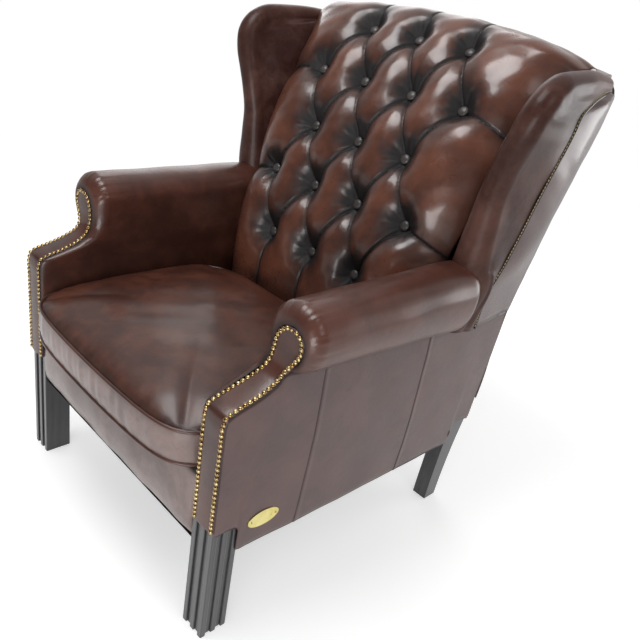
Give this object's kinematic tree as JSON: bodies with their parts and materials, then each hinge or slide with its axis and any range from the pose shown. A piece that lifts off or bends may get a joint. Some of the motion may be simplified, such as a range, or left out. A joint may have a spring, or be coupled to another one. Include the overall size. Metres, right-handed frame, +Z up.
{
  "type": "wing chair",
  "caption": "Wing chair with a deep-buttoned back, rolled nailed arms, loose seat cushion and square reeded front legs, built over a timber frame.",
  "frame": {"origin": "on the floor, in the middle of the chair's width and depth", "axes": "+Z up, +X to the right as seen from the front, +Y towards the back"},
  "size_m": [0.844, 0.9406, 1.0708],
  "materials": {
    "stained_wood": "satin black stain",
    "frame_wood": "bare beech",
    "leather": "glossy, hand rubbed",
    "webbing": "woven jute",
    "platform_cloth": "woven",
    "dust_cloth": "thin woven cloth",
    "nail_brass": "aged",
    "plate_brass": "polished",
    "screw_steel": "plain"
  },
  "bodies": {
    "chair": {"front_leg_left": "stained_wood", "front_leg_right": "stained_wood", "rear_leg_left": "stained_wood", "rear_leg_right": "stained_wood", "front_seat_rail": "frame_wood", "rear_seat_rail": "frame_wood", "side_seat_rail_left": "frame_wood", "side_seat_rail_right": "frame_wood", "corner_blocks": "frame_wood", "corner_block_screws": "screw_steel", "arm_front_post_left": "frame_wood", "arm_front_post_right": "frame_wood", "arm_rail_left": "frame_wood", "arm_rail_right": "frame_wood", "crest_rail": "frame_wood", "lower_back_rail": "frame_wood", "wing_stile_left": "frame_wood", "wing_stile_right": "frame_wood", "wing_rail_left": "frame_wood", "wing_rail_right": "frame_wood", "back_webbing": "webbing", "seat_webbing": "webbing", "seat_deck": "platform_cloth", "dust_cover": "dust_cloth", "arm_facing_left": "leather", "arm_facing_right": "leather", "arm_pad_left": "leather", "arm_pad_right": "leather", "facing_nails_left": "nail_brass", "facing_nails_right": "nail_brass", "side_panel_left": "leather", "side_panel_right": "leather", "front_border": "leather", "wing_pad_left": "leather", "wing_pad_right": "leather", "outside_wing_left": "leather", "outside_wing_right": "leather", "wing_welt_left": "leather", "wing_welt_right": "leather", "outside_back": "leather", "back_pad": "leather", "back_buttons": "leather", "brass_plate": "plate_brass"},
    "cushion": {"seat_cushion": "leather", "cushion_piping_top": "leather", "cushion_piping_bottom": "leather"}
  },
  "joints": [
    {"name": "cushion_lift", "type": "slide", "parent": "chair", "child": "cushion", "axis": [0, -0.42, 0.9075], "range_m": [0, 0.42]}
  ]
}
